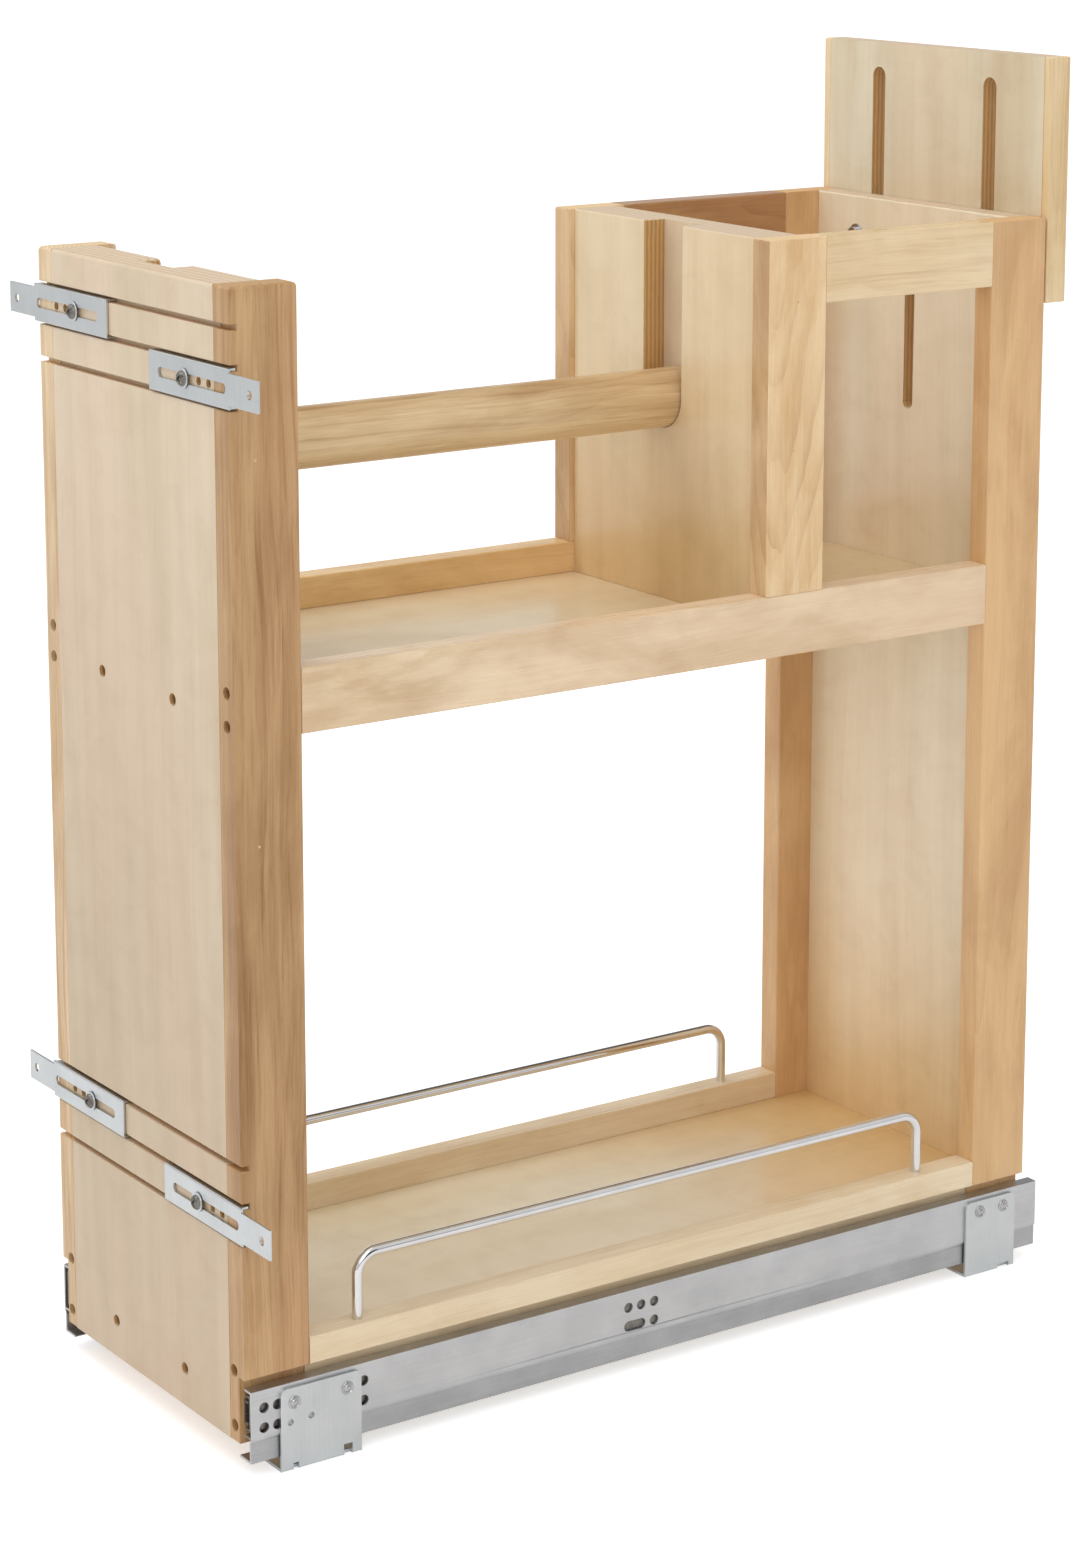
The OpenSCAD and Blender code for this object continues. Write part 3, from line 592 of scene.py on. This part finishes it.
def solid_board(node, tone, grain, seed, joined="", side="right", free=(), front_tone=None,
                **options):
    look = {name: options.pop(name) for name in LOOKS if name in options}
    face = solid_wood(node + "_face", node, tone, grain, seed, **look)
    ends = end_grain(node + "_ends", tone[0], tone[1], grain, seed)
    materials = [(face, everywhere), (ends, facing(grain))]
    if front_tone:
        edge_cut = solid_wood(node + "_front", node, front_tone, grain, seed + 2, **look)
        materials.append((edge_cut, frontward))
    pairs = [tuple(side_names(pair, side).split()) for pair in free]
    return board(node, materials, side_names(joined, side), free=pairs, **options)


PLY_LOOKS = ("figure", "zoned", "lined", "deeper")


def ply_board(node, grain, across, seed, joined="", tone=BEIGE, **options):
    look = {name: options.pop(name) for name in PLY_LOOKS if name in options}
    face = veneer(node + "_face", node, tone, grain, seed, **look)
    edge = ply_edge(node + "_edge", EDGE[0], EDGE[1], across, seed=seed)
    rim = ply_edge(node + "_rim", PALE_EDGE[0], PALE_EDGE[1], across, 5.0, seed=seed)
    materials = [(face, everywhere), (edge, not_facing(across))]
    if across != "z":
        materials.append((rim, upward))
    return board(node, materials, joined, **options)


TOP_ROUND = 2.6
for side, seed in zip(SIDES, (0, 1)):
    near = side == "right"
    solid_board(
        f"front_stile_{side}", BROWN if near else SAND, "z", 11 + seed, "-x", side,
        ("-x +y",), radius=1.3, top=TOP_ROUND, figure=0.4, streak=1.0, mottle=0.1,
        zone_mm=26, ring_mm=6.0, heart=(-35, 14), lean=0.35, zoned=0.7,
    )
    solid_board(
        f"divider_stile_{side}", ORANGE, "z", 23 + seed, "-x -z", side,
        ("-x -y", "-x +y"), radius=0.9, top=1.2, front_tone=HAZEL, figure=0.8, ring_mm=9.0,
        heart=(-25, 14), lean=0.9, reach=0.30, streak=0.3,
    )
    solid_board(
        f"rear_stile_{side}", TAN, "z", 36 + seed, "-x", side, ("-x -y",),
        radius=1.3, top=1.3, figure=0.4, streak=0.25, heart=(-60, 30), lean=0.5,
    )
    solid_board(
        f"mid_rail_{side}", FLAXEN if near else YELLOW, "y", 41 + seed, "-y +y", side,
        radius=1.0, figure=0.1, streak=0.15, mottle=0.8, zoned=0.1,
    )
    solid_board(
        f"base_rail_{side}", STRAW, "y", 52 + seed, "-y +y", side,
        radius=1.0, figure=0.25, streak=0.2, mottle=0.4,
    )
    solid_board(
        f"bin_rail_{side}", CREAM if near else RED, "y", 63 + seed, "-y +y",
        side, radius=1.0, figure=0.35 if near else 1.7, mottle=0.4, reach=0.25,
    )
    solid_board(
        f"riser_edge_{side}", CREAM, "z", 74 + seed, "-x", side, radius=1.0, figure=0.3,
    )
# The tints given with the upright plywood boards below are painted shade: each board is painted
# darker and more golden towards its lower end, where less light reaches.
ply_board("front_skin_ply", "z", "y", 5, "-x +x +y", top=TOP_ROUND,
          deeper=(240, -60, (0.83, 0.79, 0.76)))
ply_board("front_slotted_ply", "z", "y", 7, "-x +x -y", top=TOP_ROUND)
ply_board("divider_slotted_ply", "z", "y", 9, "-x +x +y -z", top=1.2, tone=AMBER,
          deeper=(30, -115, (0.88, 0.76, 0.60)))
ply_board("divider_back_ply", "z", "y", 12, "-x +x -y -z", top=1.2)
ply_board("rear_ply", "z", "y", 14, "-x +x", top=1.2, tone=GOLDEN,
          deeper=(-120, -300, (0.95, 0.78, 0.55)))
ply_board("riser_ply", "z", "y", 15, "-x +x", tone=OATEN)
# The shelf and the floor are painted darker and more golden towards the back: painted shade
# under the parts above them and in the back corner.
for node, seed, tone, deeper in (
    ("mid_shelf_ply", 17, OATEN, (-200, 200, (0.96, 0.88, 0.74))),
    ("base_floor_ply", 19, PALE, (40, 260, (0.92, 0.72, 0.44))),
):
    ply_board(
        node, "y", "z", seed, "-x +x -y +y", tone=tone, figure=0.2, zoned=0.15, lined=0.3,
        deeper=deeper,
    )
solid_board("floor_cleats", CREAM, "x", 81, "-y +y +z")

rod_wood = solid_wood(
    "rod_face", "towel_rod", HONEY, "y", 92, figure=0.5, ring_mm=6.0, streak=0.7,
    mottle=0.4, heart=(14, 6), lean=0.2, zoned=0.6,
)
rod_end = end_grain("rod_end", HONEY[0], HONEY[1], "y", 92)


rod = eased_piece("towel_rod", lambda edge, sides: 0.6)
add_materials(rod, [rod_wood, rod_end])
for face in rod.data.polygons:
    face.material_index = 1 if facing("y")(face.normal) else 0


def sheet_metal(node, bend_axis, bend=1.2, edge=0.25, corner=0.0, corner_axis=None, crease=None):
    """A bent or cut sheet part: round along the bends, round corners, thin broken edges."""
    def rounding(edge_, sides):
        if edge_.calc_length() < 1.2 * MM and corner == 0:
            return 0.0
        direction = (edge_.verts[1].co - edge_.verts[0].co).normalized()
        if corner and abs(direction[AXES.index(corner_axis)]) > 0.99:
            return corner if edge_.calc_length() < 2.2 * MM and len(sides) >= 2 else edge
        if abs(direction[AXES.index(bend_axis)]) > 0.99:
            if len(sides) == 2:
                return bend
            if crease and edge_.calc_face_angle(0) < math.radians(40):
                return crease
        return edge if edge_.calc_length() > 1.2 * MM else 0.0

    piece = eased_piece(node, rounding, sharpest=25 if crease else 40)
    add_materials(piece, [MATERIALS[SLOT_OF[node]]])
    return piece


# Painted shade: below FOLD_TOP, blended over FOLD_BLEND, the slides' cabinet members take a
# darker copy of the galvanised steel.
FOLD_TOP = 12.3 * MM
FOLD_BLEND = 1.3 * MM
fold_shade_steel = plated_steel(
    "galvanised_painted_shade", srgb(190, 191, 193), srgb(168, 169, 171), 0.42, spangle=0.06, seed=3
)
# Painted shade: a darker steel for the slides' middle and inner members and ball cages, so that
# they look dark through the holes of the outer member.
painted_shade_steel = dull_metal("painted_shade_steel", srgb(150, 147, 142), srgb(116, 113, 108), 0.45)


def paint_fold_shade(node, piece):
    """Gives the lower band of a slide's cabinet member, below the fold, a darker and rougher
    copy of the galvanised steel: painted shade, as if the band looked a little downward.
    """
    add_materials(piece, [fold_shade_steel])
    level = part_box(node)[0][2] + FOLD_TOP
    for face in piece.data.polygons:
        highest = max(piece.data.vertices[index].co.z for index in face.vertices)
        if face.center.z < level and highest < level + FOLD_BLEND:
            face.material_index = 1


for side in SIDES:
    slide = f"slide_outer_{side}"
    paint_fold_shade(
        slide, sheet_metal(slide, "y", bend=1.2, corner=2.6, corner_axis="x", crease=1.6)
    )
    for place in ("front", "rear"):
        sheet_metal(f"cabinet_bracket_{place}_{side}", "y", bend=1.6)
    for row in ("upper", "lower"):
        sheet_metal(f"door_bracket_{row}_{side}", "x", bend=1.0, corner=2.0, corner_axis="y")


def islands(node):
    """The boxes of a node's separate solids, each as its low and high corner."""
    shape = bmesh.new()
    shape.from_mesh(NODES[node].data)
    bmesh.ops.remove_doubles(shape, verts=shape.verts, dist=0.002 * MM)
    boxes, done = [], set()
    for first in shape.verts:
        if first in done:
            continue
        group, queue = [], [first]
        done.add(first)
        while queue:
            vert = queue.pop()
            group.append(vert.co.copy())
            for edge in vert.link_edges:
                other = edge.other_vert(vert)
                if other not in done:
                    done.add(other)
                    queue.append(other)
        boxes.append((
            Vector([min(point[i] for point in group) for i in range(3)]),
            Vector([max(point[i] for point in group) for i in range(3)]),
        ))
    shape.free()
    return boxes


def lathe(shape, seat, out, profile, dent=None, segments=40):
    """Adds a solid turned round the line through seat along out. The profile lists radius
    and height in mm, from the tip down; dent(across, up) sinks the surface there."""
    across = out.orthogonal().normalized()
    up = out.cross(across)
    rings = []
    for radius, height in profile:
        ring = []
        for step in range(segments if radius else 1):
            angle = 2 * math.pi * step / segments
            u, v = radius * math.cos(angle), radius * math.sin(angle)
            sunk = dent(u, v) if dent and height > 0 else 0.0
            ring.append(shape.verts.new(
                seat + (across * u + up * v + out * (height - sunk)) * MM
            ))
        rings.append(ring)
    for upper, lower in zip(rings, rings[1:]):
        for step in range(segments):
            after = (step + 1) % segments
            if len(upper) == 1:
                corners = (upper[0], lower[step], lower[after])
            elif len(lower) == 1:
                corners = (upper[step], lower[0], upper[after])
            else:
                corners = (upper[step], lower[step], lower[after], upper[after])
            shape.faces.new(corners)


def turned_piece(node, profile, axis, head_side, material, dent=None):
    """Turned parts in place of every solid of a node, with their heads on that side."""
    shape = bmesh.new()
    index = AXES.index(axis)
    head_height = profile[0][1]
    for low, high in islands(node):
        seat = (low + high) / 2
        sign = head_side(seat)
        length = (high - low)[index] / MM
        seat[index] = (high if sign > 0 else low)[index] - sign * head_height * MM
        out = Vector([sign if i == index else 0.0 for i in range(3)])
        shank = profile[-1][0]
        bottom = head_height - length
        whole = list(profile) + [(shank, bottom + 0.4), (shank - 0.4, bottom), (0.0, bottom)]
        lathe(shape, seat, out, whole, dent)
    bmesh.ops.recalc_face_normals(shape, faces=shape.faces)
    for face in shape.faces:
        face.smooth = True
    for edge in shape.edges:
        edge.smooth = edge.calc_face_angle(0) < math.radians(50)
    piece = new_object(node + "_finished", shape)
    add_materials(piece, [material])
    return finish(piece, node)


def cross_recess(half_width, reach, depth):
    """A cross for a screwdriver, deepest in the middle."""
    def dent(u, v):
        narrow, far = sorted((abs(u), abs(v)))
        if narrow > half_width or far > reach:
            return 0.0
        return depth * (1.0 - 0.45 * far / reach)
    return dent


PAN_HEAD = (
    (0, 2.4), (0.3, 2.4), (0.6, 2.39), (0.9, 2.37), (1.2, 2.33), (1.5, 2.28), (1.8, 2.22),
    (2.1, 2.13), (2.4, 2.02), (2.8, 1.82), (3.3, 1.46), (3.8, 0.95), (4.1, 0.45), (4.2, 0.0),
    (2.3, 0.0),
)
FLAT_HEAD = (
    (0, 3.0), (0.3, 3.0), (0.6, 3.0), (0.9, 3.0), (1.2, 3.0), (1.5, 3.0), (1.8, 3.0),
    (2.1, 3.0), (2.5, 3.0), (3.1, 3.0), (3.4, 2.7), (3.4, 2.3), (2.0, 0.0),
)
RIVET_HEAD = (
    (0, 1.3), (0.8, 1.26), (1.5, 1.05), (1.95, 0.6), (2.2, 0.35), (2.5, 0.35), (2.8, 0.7),
    (3.1, 0.9), (3.5, 0.75), (3.8, 0.25), (3.8, 0.0), (2.4, 0.0),
)
screw_steel = dull_metal("screw_head_steel", srgb(150, 146, 140), srgb(92, 88, 82), 0.38)
turned_piece(
    "door_bracket_screws", PAN_HEAD, "y", lambda seat: -1, screw_steel,
    cross_recess(0.62, 2.3, 1.5),
)
turned_piece(
    "front_screws", FLAT_HEAD, "y", lambda seat: -1, MATERIALS["dark_screw"],
    cross_recess(0.7, 2.3, 1.7),
)
turned_piece(
    "rear_screws", FLAT_HEAD, "y", lambda seat: 1, MATERIALS["dark_screw"],
    cross_recess(0.7, 2.3, 1.7),
)
turned_piece(
    "bracket_rivets", RIVET_HEAD, "x", lambda seat: math.copysign(1, seat.x),
    MATERIALS["bright_steel"],
)
for node in ("riser_bolts", "riser_nuts", "door_bracket_washers", "slide_screws"):
    eased = eased_piece(node, lambda edge, sides: 0.35)
    add_materials(eased, [MATERIALS[SLOT_OF[node]]])


nail_filler = dull_metal(
    "nail_filler", srgb(222, 192, 152), srgb(204, 172, 132), 0.6, metallic=0.0
)


def filled_nails(node, places):
    """Filled nail holes on the outside of a right-hand board: share of its depth, and height
    above its lower end in mm."""
    low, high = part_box(node)
    shape = bmesh.new()
    for share, height in places:
        seat = Vector((high[0], low[1] + share * (high[1] - low[1]), low[2] + height * MM))
        lathe(shape, seat, Vector((1, 0, 0)), ((0, 0.10), (0.7, 0.08), (1.1, -0.2), (0, -0.2)),
              segments=16)
    for face in shape.faces:
        face.smooth = True
    fill = new_object(node + "_nail_fill", shape)
    add_materials(fill, [nail_filler])
    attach(fill, BODY_OF[node])


filled_nails("front_stile_right", ((0.36, 540), (0.34, 334), (0.40, 105)))
filled_nails("divider_stile_right", ((0.5, 168), (0.45, 83)))
filled_nails("rear_stile_right", ((0.5, 560),))

# CAD nodes that stay as they are take their slot's material, apart from the slides' middle and
# inner members and ball cages, which take a darker steel as painted shade
for node, item in NODES.items():
    if not item.hide_render:
        inside_slide = "slide_middle" in node or "slide_inner" in node or "cages" in node
        item.data.materials.clear()
        item.data.materials.append(
            painted_shade_steel if inside_slide else MATERIALS[SLOT_OF[node]]
        )
        for face in item.data.polygons:
            face.use_smooth = True


# Stage -------------------------------------------------------------------------------

FLOOR_SIZE = 40.0
floor_shape = bmesh.new()
bmesh.ops.create_grid(floor_shape, x_segments=8, y_segments=8, size=FLOOR_SIZE / 2)
floor = new_object("floor", floor_shape)
paper = Shader("floor_paper", Roughness=0.9, Specular_IOR_Level=0.1)
paper_grain = paper.noise(paper.place(), 4.0)
paper.set("Base Color", paper.mix(paper_grain, srgb(238, 238, 238), srgb(240, 240, 240)))
paper.surface.inputs["Emission Color"].default_value = (1, 1, 1, 1)
seen_first = paper.node("LightPath").outputs["Is Camera Ray"]
paper.set("Emission Strength", paper.maths("MULTIPLY_ADD", seen_first, 0.35, 0.18))
see_through = paper.node("BsdfTransparent").outputs[0]
from_below = paper.node("NewGeometry").outputs["Backfacing"]
one_sided = paper.node(
    "MixShader", {0: from_below, 1: paper.surface.outputs[0], 2: see_through}
)
paper.tree.links.new(one_sided.outputs[0], paper.end.inputs["Surface"])
floor.data.materials.append(paper.material)

world = bpy.data.worlds.new("studio")
bpy.context.scene.world = world
world.use_nodes = True
sky = NodeTree(world.node_tree)
direction = sky.node("TexCoord").outputs["Generated"]
height = sky.node("SeparateXYZ", {0: direction}).outputs["Z"]
rays = sky.node("LightPath").outputs


def sky_patch(towards, outer, inner, value_outside, value_inside):
    """A value that changes inside a round patch of the sky. Its edge runs from outer to
    inner, which are cosines of the angle from the patch's middle."""
    closeness = sky.node("VectorMath", {0: direction, 1: towards}, operation="DOT_PRODUCT")
    return sky.ranged(
        closeness.outputs["Value"], outer, inner, value_outside, value_inside
    )


# A dark flag low on the right gives the wire and the bright steel their dark edges.
# Another high behind the object, which only reflections see, outlines the wire.
right_flag = sky_patch((0.93, 0.20, 0.30), 0.93, 0.97, 1.0, 0.12)
back_flag = sky_patch((-0.47, 0.33, 0.82), 0.80, 0.88, 0.0, 0.85)
back_shade = sky.maths("MULTIPLY", back_flag, rays["Is Glossy Ray"])
light_left = sky.maths("SUBTRACT", right_flag, back_shade)
glow = sky.mix(sky.ranged(height, 0.0, 0.5), (0.66, 0.66, 0.67, 1), (0.86, 0.86, 0.86, 1))
shaded = sky.node("VectorMath", {0: glow, "Scale": light_left}, operation="SCALE")
lighting = sky.node("Background", {"Color": shaded.outputs[0], "Strength": 0.90})
seen = sky.node("Background", {"Color": (1, 1, 1, 1)})
view = sky.node(
    "MixShader", {0: rays["Is Camera Ray"], 1: lighting.outputs[0], 2: seen.outputs[0]}
)
sky.node("OutputWorld", {"Surface": view.outputs[0]})

middle = (cad_low + cad_high) / 2


def soft_light(name, azimuth, elevation, distance, size, watts, colour=(1, 1, 1)):
    """A square studio light that looks at the middle of the object."""
    lamp = bpy.data.lights.new(name, "AREA")
    lamp.size = size
    lamp.energy = watts
    lamp.color = colour
    light = bpy.data.objects.new(name, lamp)
    turn, lift = math.radians(azimuth), math.radians(elevation)
    away = Vector((
        math.sin(turn) * math.cos(lift), -math.cos(turn) * math.cos(lift), math.sin(lift)
    ))
    light.location = middle + away * distance
    light.rotation_mode = "QUATERNION"
    light.rotation_quaternion = away.to_track_quat("Z", "Y")
    bpy.context.scene.collection.objects.link(light)


soft_light("key", 62, 34, 3.0, 2.2, 17)
soft_light("left", -40, 52, 1.7, 1.0, 4.5)
soft_light("top", 20, 80, 2.4, 1.6, 7)

# The camera looks from the front right corner and slightly down
CAMERA_AZIMUTH, CAMERA_PITCH, CAMERA_LENS = 55.76, 10.72, 87.6
camera_data = bpy.data.cameras.new("camera")
camera = bpy.data.objects.new("camera", camera_data)
bpy.context.scene.collection.objects.link(camera)
camera.location = (1.7730, -1.2251, 0.9010)
turn, tilt = math.radians(CAMERA_AZIMUTH), math.radians(CAMERA_PITCH)
camera_back = Vector((
    math.sin(turn) * math.cos(tilt), -math.cos(turn) * math.cos(tilt), math.sin(tilt)
))
camera.rotation_mode = "QUATERNION"
camera.rotation_quaternion = camera_back.to_track_quat("Z", "Y")
camera_data.lens = CAMERA_LENS
camera_data.sensor_width = 36
camera_data.shift_y = -0.18
camera_data.clip_start = 0.05
camera_data.clip_end = 100
bpy.context.scene.camera = camera
bpy.context.scene.view_settings.view_transform = "Standard"
